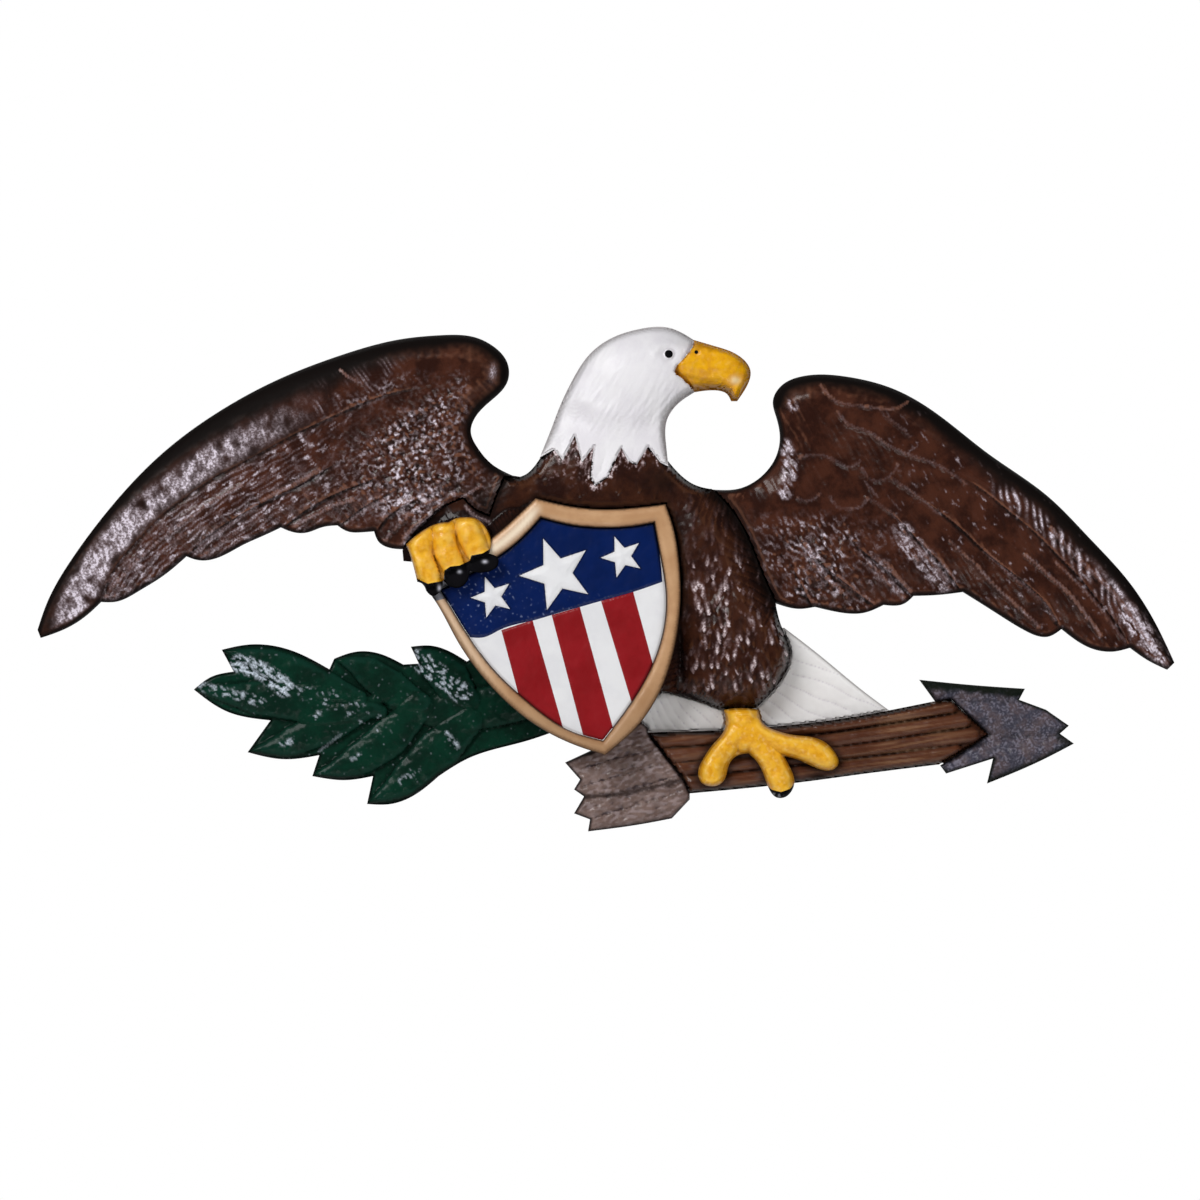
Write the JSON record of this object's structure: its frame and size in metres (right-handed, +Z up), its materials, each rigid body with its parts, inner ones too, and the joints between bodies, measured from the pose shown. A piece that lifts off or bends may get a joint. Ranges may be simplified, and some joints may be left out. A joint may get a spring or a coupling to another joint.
{
  "type": "eagle wall sculpture",
  "caption": "Cast eagle in relief for a wall, wings spread, with striped shield, laurel branch and arrow bundle, hung by keyhole plates.",
  "frame": {"origin": "midway between the two keyhole entries, on the wall plane that the back of the castings lies on", "axes": "+X to the viewer's right along the wings, +Z up the wall, the front faces -Y and the wall is the plane y = 0"},
  "size_m": [0.7638, 0.058, 0.3382],
  "materials": {
    "brown_enamel": "gloss enamel hand-brushed on rough cast aluminium, dark brown",
    "white_enamel": "gloss enamel hand-brushed on cast aluminium, white",
    "green_enamel": "gloss enamel hand-brushed on cast aluminium, dark green",
    "gold_enamel": "metallic bronze-gold enamel on cast aluminium",
    "blue_enamel": "gloss enamel, blue field over red and white stripes with white stars",
    "shaft_enamel": "semi-gloss enamel on cast aluminium, red-brown",
    "vane_enamel": "semi-gloss enamel on cast aluminium, taupe",
    "grey_enamel": "semi-gloss enamel on cast aluminium, dark grey",
    "yellow_enamel": "gloss enamel on cast aluminium, egg-yolk yellow",
    "plated_steel": "zinc-plated steel"
  },
  "bodies": {
    "root": {"left_wing_casting": "brown_enamel", "right_wing_casting": "brown_enamel", "body_casting": "brown_enamel", "head_casting": "white_enamel", "tail_casting": "white_enamel", "branch_casting": "green_enamel", "shield_frame": "gold_enamel", "shield_panel": "blue_enamel", "arrow_shafts": "shaft_enamel", "fletching": "vane_enamel", "arrowheads": "grey_enamel", "left_claw": "yellow_enamel", "right_foot": "yellow_enamel", "wing_screws": "plated_steel", "head_screws": "plated_steel", "tail_screws": "plated_steel", "branch_screws": "plated_steel", "foot_screw": "plated_steel", "shaft_screws": "plated_steel", "shield_screws": "plated_steel", "claw_screw": "plated_steel", "fletching_screw": "plated_steel", "arrowhead_screw": "plated_steel", "hanger_screws": "plated_steel", "left_hanger_plate": "plated_steel", "right_hanger_plate": "plated_steel"}
  },
  "joints": []
}
